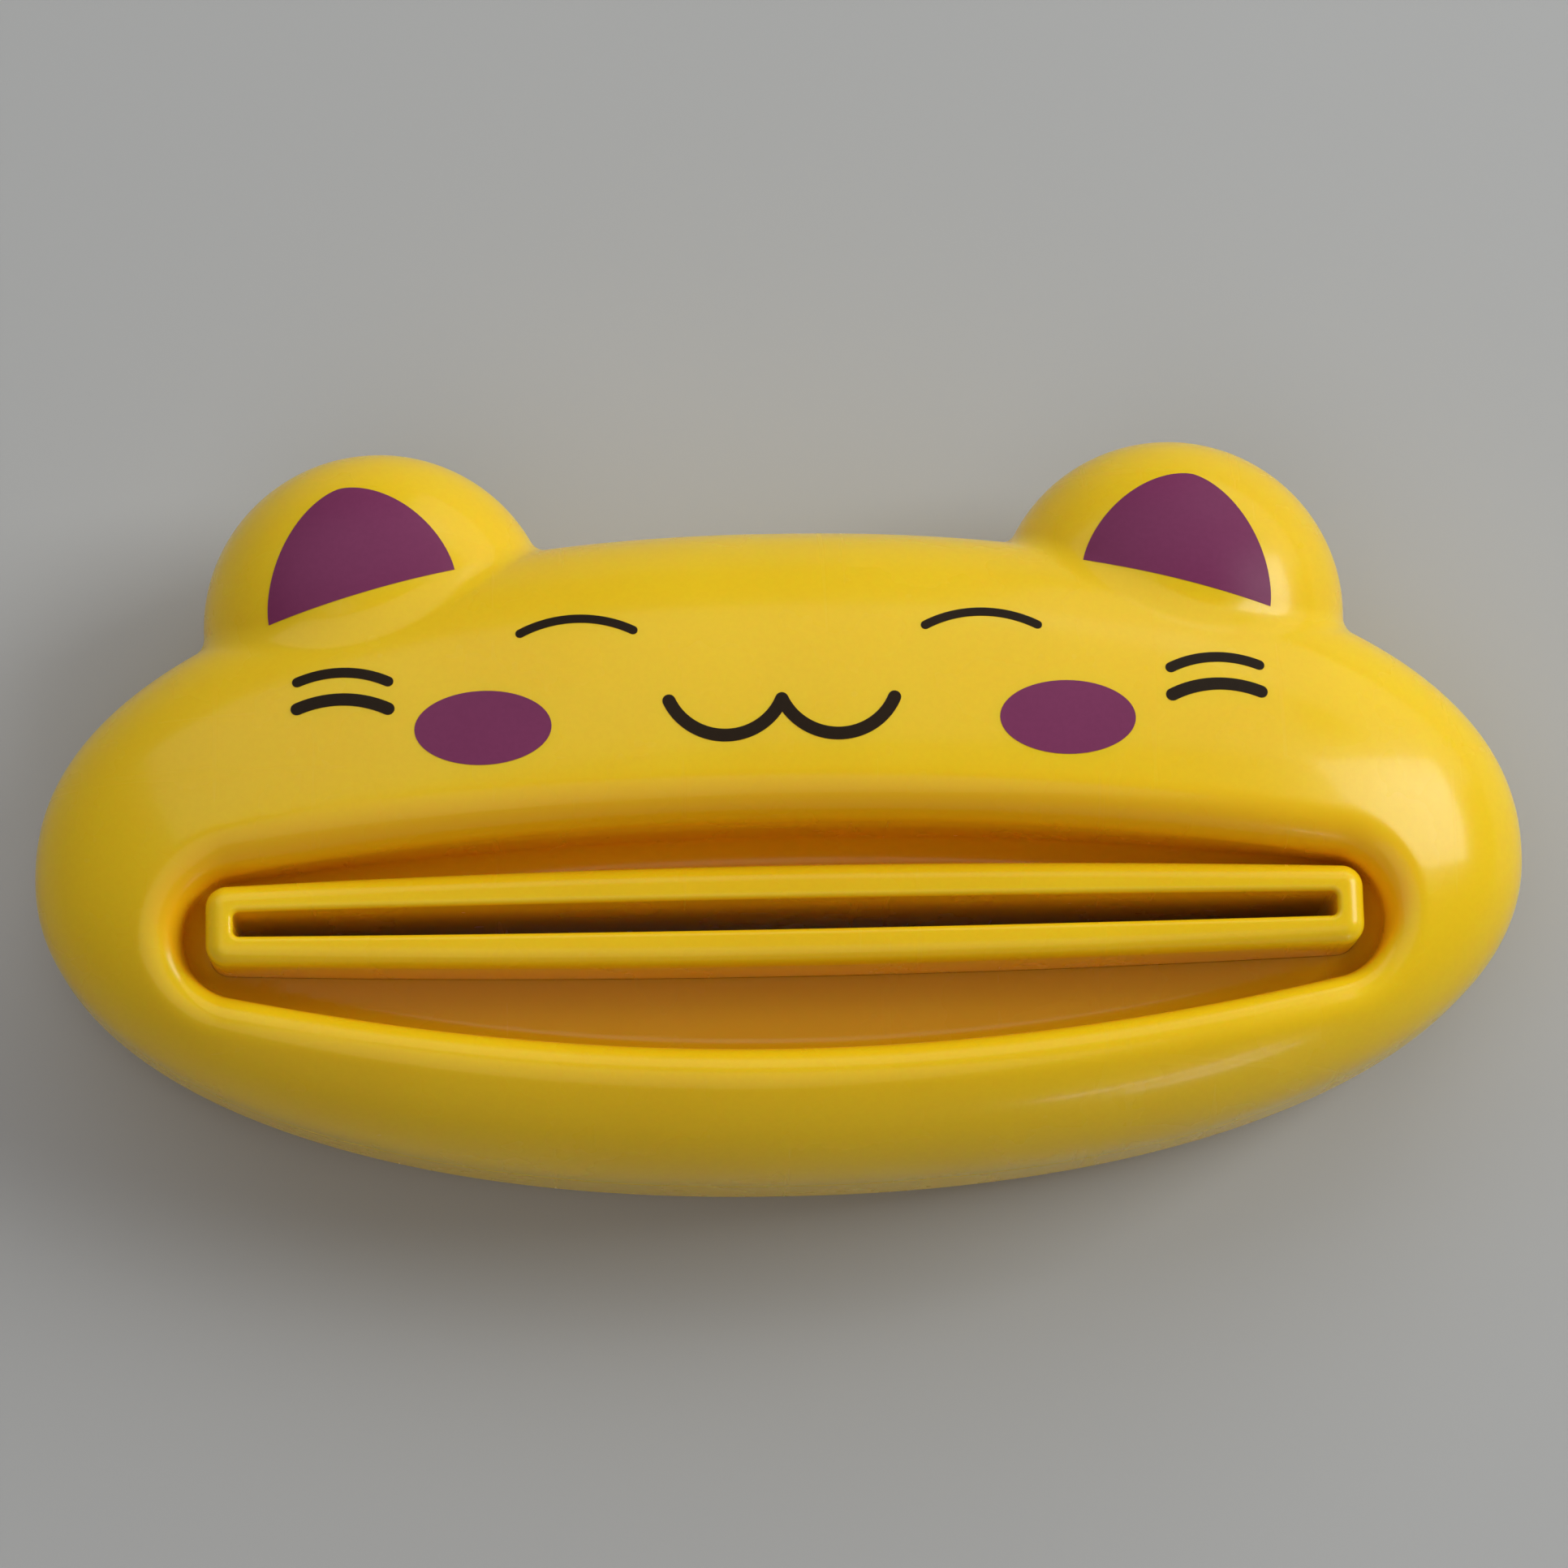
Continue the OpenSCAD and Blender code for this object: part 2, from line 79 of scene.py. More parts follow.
# Slot and collar. The slot and its collar are a little higher at their middle than at
# their ends.
SLOT_W = 71.2
SLOT_H = 2.0
SLOT_END_H = 1.6
SLOT_Y = -4.5
SLOT_CORNER_R = 0.4
SLOT_EDGE_R = 0.4
COLLAR_BAR = 2.3
COLLAR_END = 1.8
COLLAR_H = 8.8
COLLAR_CORNER_R = 1.4
COLLAR_EDGE_R = 1.2
FLANGE_OUT = 1.4
FLANGE_HALF_T = 1.45
SLEEVE_FIT = 0.02
FLANGE_EDGE = 0.15

# Half the width, and the depth, of the fine line where the shells meet
GROOVE = 0.12

# Painted shade: inside the mouth the plastic's colour is mixed towards orange and then dark
# brown, by a depth from 0 to 1, to stand in for the warm bounced light and the shade there. It
# begins at these distances from the mouth's wall, below the mouth's middle and above it.
LIP_INSIDE_LOW = 0.25
LIP_INSIDE_HIGH = 3.8

# The most that the painted shade reaches in the mouth's upper part, in the slot and on the sleeve
UPPER_SHADE = 0.5
SLOT_SHADE = 0.3
SLEEVE_SHADE = 0.5

# Print. Each ink as a whole lies a little to the left of the head's middle.
INK_PROUD = 0.03
INK_SUNK = 0.05
BLACK_ASIDE = -0.1
PURPLE_ASIDE = -0.5
EYE_X = 13.1
EYE_Y = 14.8
EYE_W = 7.3
EYE_RISE = 0.95
EYE_STROKE = 0.6
CHEEK_X = 18.8
CHEEK_Y = 7.4
CHEEK_W = 8.8
CHEEK_H = 5.0
SMILE_Y = 6.45
SMILE_W = 14.5
SMILE_RISE = 2.4
SMILE_STROKE = 0.85
WHISKER_X = 28.2
WHISKER_Y = 11.65
WHISKER_GAP = 1.9
WHISKER_W = 5.9
WHISKER_RISE = 0.65
WHISKER_STROKES = (0.7, 0.85)
WHISKER_TURN = 3.0
INNER_EAR_W = 12.6
INNER_EAR_H = 7.7
INNER_EAR_X = 0.35
INNER_EAR_Y = 0.45
INNER_EAR_TURN = -15.5
INNER_EAR_LEAN = 0.1
INNER_EAR_PEAK = 1.2
INNER_EAR_SIDES = 1.2

# Mesh spacing of the shells' outer and inner skins
FINE = 0.4
COARSE = 1.0

# Spacing of the print's points, inside its outlines and along its strokes, and the
# number of points on a stroke's round end
INNER_EAR_STEP = 0.6
CHEEK_STEP = 0.5
STROKE_STEP = 0.3
EYE_STEP = 0.25
ARC_STEP = 0.25
ROUND_END = 10

# In the print, the gap between rows of points and their room at the outline, in steps
ROW_GAP = 0.87
EDGE_ROOM = 0.4

# Height over the parting plane above which an open border is that of the sleeve's hole,
# and how far the hole is opened past the collar, in steps
HOLE_LOW = 1.0
HOLE_ROOM = 0.25

# Half the span over which slopes are measured, the distance at which points are one,
# and a number that only keeps a division from failing
SLOPE_SPAN = 0.004
SAME_POINT = 1e-6
TINY = 1e-9

# The frame gives the head's width, its middle and the plane where the shells meet
shell_low, shell_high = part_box("front_shell")
rear_low, rear_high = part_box("rear_shell")
HALF_W = (shell_high[0] - shell_low[0])/MM/2
PARTING = rear_high[2]
REST_DEPTH = (rear_high[2] - rear_low[2])/MM
MIDDLE = np.array([(shell_low[0] + shell_high[0])/2, shell_low[1] + CHIN_H*MM, PARTING])
EAR_Y = BROW_H*(1 - (EAR_X/HALF_W)**BROW_FULL)**(1/BROW_FULL) - EAR_SINK


def to_frame(points):
    """Millimetres about the head's middle to metres in the CAD frame."""
    return np.asarray(points)*MM + MIDDLE


# Outlines

def bulge_radius(cx, cy, r, h):
    """Radius of the big arc through (0, h) that touches a corner circle."""
    return (cx*cx + (h - cy)**2 - r*r)/(2*(h - cy - r))


def bulge_touch(cx, cy, r, h):
    """Angle at which the big arc touches the corner circle."""
    return math.atan2(cy - h + bulge_radius(cx, cy, r, h), cx)


def bulge_distance(x, y, cx, cy, r, h):
    """Distance from a bulged slot about the origin, negative inside it."""
    x = np.abs(x)
    y = np.abs(y)
    big = bulge_radius(cx, cy, r, h)
    touch = bulge_touch(cx, cy, r, h)
    to_arc = np.hypot(x, y - (h - big)) - big
    to_corner = np.where(y < cy, x - cx - r, np.hypot(x - cx, y - cy) - r)
    on_arc = np.arctan2(y - (h - big), x) > touch
    return np.where(on_arc, to_arc, to_corner)


MOUTH_CX = MOUTH_L/2 - MOUTH_END_R


def mouth_distance(x, y):
    """Distance from the mouth's wall in plan, negative inside the mouth."""
    up = bulge_distance(x, y - MOUTH_Y, MOUTH_CX, 0, MOUTH_END_R, MOUTH_RISE)
    down = bulge_distance(x, y - MOUTH_Y, MOUTH_CX, 0, MOUTH_END_R, MOUTH_DROP)
    return np.where(y > MOUTH_Y, up, down)


# Bulged slots: the middle of the corner circle, its radius, and the slot's half height
COLLAR = (SLOT_W/2 + COLLAR_END - COLLAR_CORNER_R, SLOT_END_H/2 + COLLAR_END - COLLAR_CORNER_R,
          COLLAR_CORNER_R, SLOT_H/2 + COLLAR_BAR)
SLOT = (SLOT_W/2 - SLOT_CORNER_R, SLOT_END_H/2 - SLOT_CORNER_R, SLOT_CORNER_R, SLOT_H/2)


def collar_distance(x, y):
    return bulge_distance(x, y - SLOT_Y, *COLLAR)


# Solids, as distances that are negative inside

def round_union(a, b, r):
    """Joins two solids with a fillet of radius r."""
    u = np.maximum(r - a, 0)
    v = np.maximum(r - b, 0)
    return np.maximum(r, np.minimum(a, b)) - np.hypot(u, v)


def round_common(a, b, r):
    """Common part of two solids, its edge rounded to the radius r."""
    u = np.maximum(r + a, 0)
    v = np.maximum(r + b, 0)
    return np.minimum(-r, np.maximum(a, b)) + np.hypot(u, v)


def bulk_distance(x, y, z, depth, full):
    """Distance from the crowned head without ears or mouth."""
    n = np.where(y > 0, BROW_FULL, CHIN_FULL)
    reach = np.where(y > 0, BROW_H, CHIN_H)
    u = np.abs(x)/HALF_W + TINY
    v = np.abs(y)/reach + TINY
    w = np.abs(z)/depth + TINY
    rho = (u**n + v**n)**(1/n)
    g = (rho**full + w**full)**(1/full)
    slope = rho**(full - 1)*g**(1 - full)*rho**(1 - n)
    gx = slope*u**(n - 1)/HALF_W
    gy = slope*v**(n - 1)/reach
    gz = w**(full - 1)*g**(1 - full)/depth
    return (g - 1)/np.sqrt(gx*gx + gy*gy + gz*gz)


def ear_distance(x, y, z):
    """Distance from an ear, a flattened ball."""
    dx = (np.abs(x) - EAR_X)/EAR_R
    dy = (y - EAR_Y)/EAR_R
    dz = z/EAR_HALF_T
    g = np.sqrt(dx*dx + dy*dy + dz*dz) + TINY
    slope = np.sqrt((dx*dx + dy*dy)/EAR_R**2 + dz*dz/EAR_HALF_T**2)/g + TINY
    return (g - 1)/slope


def half_head(x, y, z, back):
    """Distance from a half head with its mouth and floor. Z points out of it. The floor
    goes on into the head round the mouth, and stays clear of the outside."""
    if back:
        bulk = bulk_distance(x, y, z, REST_DEPTH + BACK_CROWN, BACK_FULL)
        bulk = round_common(bulk, z - REST_DEPTH, BACK_BLEND)
    else:
        bulk = bulk_distance(x, y, z, FACE_DEPTH, FACE_FULL)
    outside = round_union(bulk, ear_distance(x, y, z), EAR_FILLET)
    wall = mouth_distance(x, y)
    lipped = round_common(outside, -wall, LIP_R)
    floor = np.maximum(z - FLOOR_H, wall - 2*WALL - 1)
    floor = np.maximum(floor, outside + FLOOR_R)
    return round_union(lipped, floor, FLOOR_R)


def front_head(x, y, z):
    return half_head(x, y, z, False)


def back_head(x, y, z):
    return half_head(x, y, z, True)


def gradient(solid, p):
    """Direction and rate at which the distance from a solid grows."""
    g = np.empty_like(p)
    for axis in range(3):
        d = np.zeros(3)
        d[axis] = SLOPE_SPAN
        g[:, axis] = (solid(*(p + d).T) - solid(*(p - d).T))/(2*SLOPE_SPAN)
    return g


# Meshes

def surface_net(field, low, step):
    """Points and quads of the surface on which a sampled field is zero, and each
    point's cell."""
    inside = field < 0
    nx, ny, nz = field.shape
    corners = [(i, j, k) for i in (0, 1) for j in (0, 1) for k in (0, 1)]

    def at(grid, corner):
        i, j, k = corner
        return grid[i:nx - 1 + i, j:ny - 1 + j, k:nz - 1 + k]

    count = sum(at(inside, c).astype(np.int8) for c in corners)
    active = (count > 0) & (count < 8)
    cells = np.argwhere(active)
    index = np.full(active.shape, -1)
    index[active] = np.arange(len(cells))
    total = np.zeros((len(cells), 3))
    crossings = np.zeros(len(cells))
    for a in corners:
        for axis in range(3):
            if a[axis]:
                continue
            b = tuple(1 if n == axis else a[n] for n in range(3))
            fa = at(field, a)[active]
            fb = at(field, b)[active]
            cut = (fa < 0) != (fb < 0)
            t = np.where(cut, fa/np.where(cut, fa - fb, 1), 0)
            spot = np.array(a, float)[None] + t[:, None]*(np.array(b) - np.array(a))[None]
            total += np.where(cut[:, None], spot, 0)
            crossings += cut
    points = low + step*(cells + total/crossings[:, None])

    quads = []
    for axis in range(3):
        p, q = (axis + 1) % 3, (axis + 2) % 3
        near = np.moveaxis(inside, (axis, p, q), (0, 1, 2))
        cell = np.moveaxis(index, (axis, p, q), (0, 1, 2))
        here = near[:-1, 1:-1, 1:-1]
        change = here != near[1:, 1:-1, 1:-1]
        around = np.stack([cell[:, :-1, :-1][change], cell[:, 1:, :-1][change],
                           cell[:, 1:, 1:][change], cell[:, :-1, 1:][change]], 1)
        around[~here[change]] = around[~here[change]][:, ::-1]
        quads.append(around)
    return points, np.concatenate(quads), cells


def settle(solid, points, level, rim, rounds=4):
    """Moves points onto the surface at the level. Those of the rim stay on z = 0."""
    for _ in range(rounds):
        g = gradient(solid, points)
        g[rim, 2] = 0
        points -= g*((solid(*points.T) - level)/(g*g).sum(1))[:, None]
        points[rim, 2] = 0
    return points


def relax(points, quads, fixed, pull=0.5):
    """Draws each point towards the middle of its neighbours."""
    ends = np.concatenate([quads[:, [0, 1]], quads[:, [1, 2]], quads[:, [2, 3]], quads[:, [3, 0]]])
    total = np.zeros_like(points)
    n = np.zeros(len(points))
    for a, b in ((0, 1), (1, 0)):
        np.add.at(total, ends[:, a], points[ends[:, b]])
        np.add.at(n, ends[:, a], 1)
    middle = total/n[:, None]
    out = points + pull*(middle - points)
    out[fixed] = points[fixed]
    return out


def skin(solid, level, step, top):
    """The surface of a half head at a depth under its skin, open on z = 0 and round
    the sleeve. Returns points and quads."""
    spare = 2*step
    low = np.array([-HALF_W - spare, -CHIN_H - spare, -step/2])
    high = np.array([HALF_W + spare, EAR_Y + EAR_R + spare, top + spare])
    counts = np.ceil((high - low)/step).astype(int) + 1
    axes = [low[n] + step*np.arange(counts[n]) for n in range(3)]
    x, y, z = np.meshgrid(*axes, indexing="ij")
    field = solid(x, y, z) - level
    points, quads, cells = surface_net(field, low, step)
    rim = cells[:, 2] == 0
    points = settle(solid, points, level, rim)
    for _ in range(3):
        points = settle(solid, relax(points, quads, rim), level, rim, rounds=2)
    hole = collar_distance(points[:, 0], points[:, 1]) < SLEEVE_FIT + HOLE_ROOM*step
    hole &= points[:, 2] > HOLE_LOW
    quads = quads[~hole[quads].any(1)]
    quads = without_pinches(quads)
    used = np.unique(quads)
    renumber = np.full(len(points), -1)
    renumber[used] = np.arange(len(used))
    points, quads = points[used], renumber[quads]
    for loop in loops(quads):
        if points[loop, 2].min() > HOLE_LOW:
            ring = to_collar(points[loop], SLEEVE_FIT)
            for _ in range(4):
                slope = gradient(solid, ring)[:, 2]
                ring[:, 2] -= (solid(*ring.T) - level)/slope
            points[loop] = ring
    return points, quads


def without_pinches(quads):
    """Leaves out the faces round a point at which an open border touches itself."""
    while True:
        starts = [a for a, b in open_edges(quads)]
        once, times = np.unique(starts, return_counts=True)
        bad = once[times > 1]
        if not len(bad):
            return quads
        quads = quads[~np.isin(quads, bad).any(1)]


def to_collar(p, d):
    """Moves points in plan onto the collar's outline, moved out by d."""
    for _ in range(4):
        gap = collar_distance(p[:, 0], p[:, 1]) - d
        g = gradient(lambda x, y, z: collar_distance(x, y), p)[:, :2]
        p[:, :2] -= g*(gap/(g*g).sum(1))[:, None]
    return p


def open_edges(faces):
    """Edges that belong to one face only, in that face's sense."""
    edges = set()
    for face in (faces.tolist() if isinstance(faces, np.ndarray) else faces):
        edges.update(zip(face, face[1:] + face[:1]))
    return [(a, b) for a, b in edges if (b, a) not in edges]


def loops(faces):
    """Closed runs of the open edges."""
    after = dict(sorted(open_edges(faces)))
    found = []
    while after:
        start, here = after.popitem()
        run = [start]
        while here != start:
            run.append(here)
            here = after.pop(here)
        found.append(run)
    return found


def zip_loops(points, first, second):
    """Triangles between two closed runs of points that lie side by side."""
    second = second[::-1]
    gaps = np.linalg.norm(points[second] - points[first[0]], axis=1)
    shift = int(gaps.argmin())
    second = second[shift:] + second[:shift]
    first = first + first[:1]
    second = second + second[:1]
    i = j = 0
    faces = []
    while i < len(first) - 1 or j < len(second) - 1:
        if j == len(second) - 1:
            step_first = True
        elif i == len(first) - 1:
            step_first = False
        else:
            step_first = (np.linalg.norm(points[first[i + 1]] - points[second[j]])
                          < np.linalg.norm(points[second[j + 1]] - points[first[i]]))
        if step_first:
            faces.append((first[i + 1], first[i], second[j]))
            i += 1
        else:
            faces.append((first[i], second[j], second[j + 1]))
            j += 1
    return faces


def shell(name, solid, top, flip):
    """A hollow half head as one closed mesh. The back one is turned over."""
    outer, outer_quads = skin(solid, 0.0, FINE, top)
    inner, inner_quads = skin(solid, -WALL, COARSE, top)
    points = np.concatenate([outer, inner])
    quads = np.concatenate([outer_quads, inner_quads[:, ::-1] + len(outer)])
    normals = gradient(solid, points)
    normals[len(outer):] *= -1
    normals /= np.linalg.norm(normals, axis=1)[:, None]
    flat = []
    ends = loops(quads)
    for high in (True, False):
        pair = [e for e in ends if (points[e, 2].mean() > HOLE_LOW) == high]
        out, inn = sorted(pair, key=min)
        if not high:
            ledge = points[out].copy()
            ledge[:, :2] -= normals[out][:, :2]*GROOVE
            points[out, 2] = GROOVE
            start = len(points)
            points = np.concatenate([points, ledge])
            normals = np.concatenate([normals, normals[out]])
            inset = list(range(start, start + len(out)))
            n = len(out)
            flat += [(out[(i + 1) % n], out[i], inset[i], inset[(i + 1) % n]) for i in range(n)]
            out = inset
        flat += zip_loops(points, out, inn)
    if flip:
        points[:, 2] *= -1
        normals[:, 2] *= -1
        quads = quads[:, ::-1]
        flat = [tuple(reversed(f)) for f in flat]
    faces = [tuple(int(v) for v in q) for q in quads] + [tuple(int(v) for v in f) for f in flat]
    return add_mesh(name, points, faces, normals, len(quads), shell_painted_shade)


def ramp(v, low, high):
    """Smooth share from 0 at low to 1 at high."""
    t = np.clip((v - low)/(high - low), 0, 1)
    return t*t*(3 - 2*t)


def shell_painted_shade(points):
    """Painted shade of a shell's point, by how deep in the mouth it lies, from 0 on the outside and
    the lip.
    """
    rise = ramp(points[:, 1] - MOUTH_Y, -MOUTH_END_R, MOUTH_END_R)
    inside = LIP_INSIDE_LOW + (LIP_INSIDE_HIGH - LIP_INSIDE_LOW)*rise
    most = 1 - (1 - UPPER_SHADE)*rise
    return most*ramp(mouth_distance(points[:, 0], points[:, 1])/inside, 1, 0)


def sleeve_painted_shade(points):
    """Painted shade of a sleeve's point, below the collar's rim or in the slot."""
    height = np.abs(points[:, 2])
    below = SLEEVE_SHADE*ramp(height, COLLAR_H - COLLAR_EDGE_R, FLOOR_H)
    slot = SLOT_SHADE*ramp(height, COLLAR_H, COLLAR_H - 2*SLOT_EDGE_R)
    in_slot = bulge_distance(points[:, 0], points[:, 1] - SLOT_Y, *SLOT) < SLOT_EDGE_R
    return np.where(in_slot, slot, below)


def add_mesh(name, points, faces, normals=None, smooth_faces=None, depth=None):
    """A mesh object from points in millimetres. The first faces take the points' own
    normals, and the rest are flat."""
    mesh = bpy.data.meshes.new(name)
    mesh.from_pydata(to_frame(points).tolist(), [], faces)
    # The depth attribute carries the painted shade of the mouth's inside, the collar and the slot.
    if depth is not None:
        mesh.attributes.new("depth", "FLOAT", "POINT").data.foreach_set("value", depth(points))
    smooth = np.ones(len(faces), bool)
    if smooth_faces is not None:
        smooth[smooth_faces:] = False
    mesh.polygons.foreach_set("use_smooth", smooth)
    mesh.update()
    if normals is not None:
        corners = np.empty(len(mesh.loops), int)
        mesh.loops.foreach_get("vertex_index", corners)
        counts = np.array([len(f) for f in faces])
        own = np.empty(len(faces)*3)
        mesh.polygons.foreach_get("normal", own)
        own = np.repeat(own.reshape(-1, 3), counts, 0)
        split = np.where(np.repeat(smooth, counts)[:, None], normals[corners], own)
        mesh.normals_split_custom_set(split.tolist())
    piece = bpy.data.objects.new(name, mesh)
    bpy.context.scene.collection.objects.link(piece)
    return piece


# Sleeve: one closed mesh, swept round the collar's and the slot's outlines

SHARP_ANGLE = 35


def quarter(cx, cy, r, h, d, corner_steps=10, bulge_steps=36):
    """A quarter of a bulged slot, moved out by d, from its end to its middle."""
    big = bulge_radius(cx, cy, r, h)
    touch = bulge_touch(cx, cy, r, h)
    corner = [(cx + (r + d)*math.cos(a), cy + (r + d)*math.sin(a))
              for a in np.linspace(0, touch, corner_steps + 1)]
    arc = [((big + d)*math.cos(a), h - big + (big + d)*math.sin(a))
           for a in np.linspace(touch, math.pi/2, bulge_steps + 1)[1:]]
    return corner + arc


def slot_ring(shape, d, z):
    """The whole outline of a bulged slot at the height z."""
    q = quarter(*shape, d)
    ring = (q + [(-x, y) for x, y in q[-2::-1]] + [(-x, -y) for x, y in q]
            + [(x, -y) for x, y in q[-2::-1]])
    return [(x, SLOT_Y + y, z) for x, y in ring]


def sleeve(name):
    """Each station has an outline, how far it is moved out, and its height."""
    turns = np.radians(np.arange(0, 91, 10))
    front = [(COLLAR, FLANGE_OUT - FLANGE_EDGE, -FLANGE_HALF_T),
             (COLLAR, FLANGE_OUT, -FLANGE_HALF_T + FLANGE_EDGE),
             (COLLAR, FLANGE_OUT, FLANGE_HALF_T - FLANGE_EDGE),
             (COLLAR, FLANGE_OUT - FLANGE_EDGE, FLANGE_HALF_T),
             (COLLAR, 0, FLANGE_HALF_T)]
    front += [(COLLAR, -COLLAR_EDGE_R*(1 - math.cos(a)), COLLAR_H - COLLAR_EDGE_R*(1 - math.sin(a)))
              for a in turns]
    front += [(SLOT, SLOT_EDGE_R*(1 - math.sin(a)), COLLAR_H - SLOT_EDGE_R*(1 - math.cos(a)))
              for a in turns]
    back = [(shape, d, -z) for shape, d, z in reversed(front[4:])]
    rings = [slot_ring(*station) for station in front + back]
    n = len(rings[0])
    m = len(rings)
    points = np.array([p for ring in rings for p in ring])
    faces = [(j*n + i, j*n + (i + 1) % n, (j + 1) % m*n + (i + 1) % n, (j + 1) % m*n + i)
             for j in range(m) for i in range(n)]
    piece = add_mesh(name, points, faces, depth=sleeve_painted_shade)
    piece.data.set_sharp_from_angle(angle=math.radians(SHARP_ANGLE))
    return piece


# Print: thin films that follow the skin

HEIGHT_ROUNDS = 90


def face_height(x, y):
    """Height of the front skin over points in plan, found by steps from above."""
    z = np.full(len(x), FACE_DEPTH + 1)
    for _ in range(HEIGHT_ROUNDS):
        z = z - np.maximum(front_head(x, y, z), 0)
    return z


def outline_film(name, outline, step):
    """A closed film of ink inside an outline, laid over the front skin. Its points
    inside the outline lie about a step apart."""
    outline = np.asarray(outline)
    low = outline.min(0)
    high = outline.max(0)
    inside = []
    rows = int((high[1] - low[1])/step/ROW_GAP)
    for j in range(1, rows):
        y = low[1] + j*(high[1] - low[1])/rows
        for x in np.arange(low[0] + step*(0.5 + 0.5*(j % 2)), high[0], step):
            inside.append((x, y))
    inside = np.array(inside).reshape(-1, 2)
    a = outline
    b = np.roll(outline, -1, 0)
    keep = []
    for q in inside:
        ab = b - a
        t = np.clip(((q - a)*ab).sum(1)/(ab*ab).sum(1), 0, 1)
        gap = np.linalg.norm(q - a - ab*t[:, None], axis=1).min()
        crossed = ((a[:, 1] > q[1]) != (b[:, 1] > q[1]))
        at = a[:, 0] + (q[1] - a[:, 1])/np.where(crossed, ab[:, 1], 1)*ab[:, 0]
        if (crossed & (at > q[0])).sum() % 2 and gap > EDGE_ROOM*step:
            keep.append(q)
    verts = [Vector(q) for q in outline] + [Vector(q) for q in keep]
    ring = list(range(len(outline)))
    flat, _, faces, *_ = delaunay_2d_cdt(verts, [], [ring], 1, SAME_POINT)
    plan = np.array([tuple(v) for v in flat])
    z = face_height(plan[:, 0], plan[:, 1])
    p = np.column_stack([plan, z])
    normal = gradient(front_head, p)
    normal /= np.linalg.norm(normal, axis=1)[:, None]
    n = len(p)
    points = np.concatenate([p + normal*INK_PROUD, p - normal*INK_SUNK])
    top = [tuple(f) for f in faces]
    rim = loops(top)[0]
    m = len(rim)
    sides = [(rim[(i + 1) % m], rim[i], rim[i] + n, rim[(i + 1) % m] + n) for i in range(m)]
    under = [tuple(v + n for v in reversed(f)) for f in top]
    normals = np.concatenate([normal, -normal])
    return add_mesh(name, points, top + under + sides, normals, 2*len(top))


def turned(points, degrees):
    """Points turned about the origin, clockwise in plan."""
    a = math.radians(degrees)
    spin = np.array([[math.cos(a), math.sin(a)], [-math.sin(a), math.cos(a)]])
    return np.asarray(points) @ spin


def arc_points(centre, r, start, stop, n):
    a = np.radians(np.linspace(start, stop, n))
    return np.column_stack([centre[0] + r*np.cos(a), centre[1] + r*np.sin(a)])


def stroke_outline(chord, rise, thick):
    """A stroke along an arc with its crest up at the origin, and with round ends."""
    r = (chord*chord/4 + rise*rise)/(2*rise)
    half = math.degrees(math.asin(chord/2/r))
    middle = (0, -r)
    run = max(12, int(chord/ARC_STEP))
    right, left = arc_points(middle, r, 90 - half, 90 + half, 2)
    return np.concatenate([
        arc_points(middle, r + thick/2, 90 - half, 90 + half, run),
        arc_points(left, thick/2, 90 + half, 270 + half, ROUND_END)[1:-1],
        arc_points(middle, r - thick/2, 90 + half, 90 - half, run),
        arc_points(right, thick/2, 270 - half, 450 - half, ROUND_END)[1:-1]])


def smile_outline():
    """Two arcs side by side that meet in a peak, with round ends."""
    chord = SMILE_W/2
    r = (chord*chord/4 + SMILE_RISE**2)/(2*SMILE_RISE)
    half = math.degrees(math.asin(chord/2/r))
    t = SMILE_STROKE/2
    middle = (chord/2, SMILE_Y + r)
    end = arc_points(middle, r, -90 + half, -90 + half, 1)[0]
    notch = math.degrees(math.acos(-chord/2/(r + t)))
    right = np.concatenate([
        arc_points(middle, r + t, -notch, -90 + half, 40),
        arc_points(end, t, -90 + half, 90 + half, ROUND_END)[1:-1],
        arc_points(middle, r - t, -90 + half, -90 - half, 36),
        arc_points((0, SMILE_Y + SMILE_RISE), t, 90 - half, 90, 5)[1:]])
    left = right[-2:0:-1]*(-1, 1)
    return np.concatenate([right, left])


def signed_power(v, e):
    return np.sign(v)*np.abs(v)**e


def inner_ear_outline():
    """A rounded dome on a straight base, leaning by a share of its height."""
    t = np.radians(np.linspace(0, 180, 61))
    v = np.maximum(np.sin(t), 0)**INNER_EAR_PEAK
    v[-1] = v[0] = 0
    u = signed_power(np.cos(t), INNER_EAR_SIDES) - INNER_EAR_LEAN*v
    dome = np.column_stack([INNER_EAR_W/2*u, INNER_EAR_H*v])
    base = np.linspace(dome[-1], dome[0], 40)[1:-1]
    return np.concatenate([dome, base])


def oval_outline(w, h):
    return arc_points((0, 0), 1, 0, 360, 73)[:-1]*(w/2, h/2)


# Materials. The noise scales are per metre.

DRIFT_SCALE = 45
GRAIN_SCALE = 2600
ROUGHNESS_SCALE = 160
PEEL_SCALE = 520

# Spans in which the values of the noises mostly lie, and how much of the tint is theirs
NOISE_SPAN = (0.35, 0.65)
GRAIN_SPAN = (0.4, 0.6)
DRIFT_SHARE = 0.8
GRAIN_SHARE = 0.2

# Scratches: scale, stretch and turn of their noise, and the span in which they come up.
# Then what they add to the roughness, and how deep they are in parts of the peel.
SCRATCHES = ((900, (1, 0.02, 0.02), (0.3, 0.2, 0.5), (0.66, 0.72)),
             (800, (0.025, 1, 0.025), (0.1, 0.4, -0.4), (0.67, 0.73)))
SCRATCH_ROUGHNESS = 0.06
SCRATCH_DEPTH = 0.05

COAT_ROUGHNESS = 0.1
GLOW_RADIUS = (1.0, 0.35, 0.05)
GLOW_SCALE = 0.002

# Depth at which the first of the two colours of painted shade is reached
HALF_SHADE = 0.5


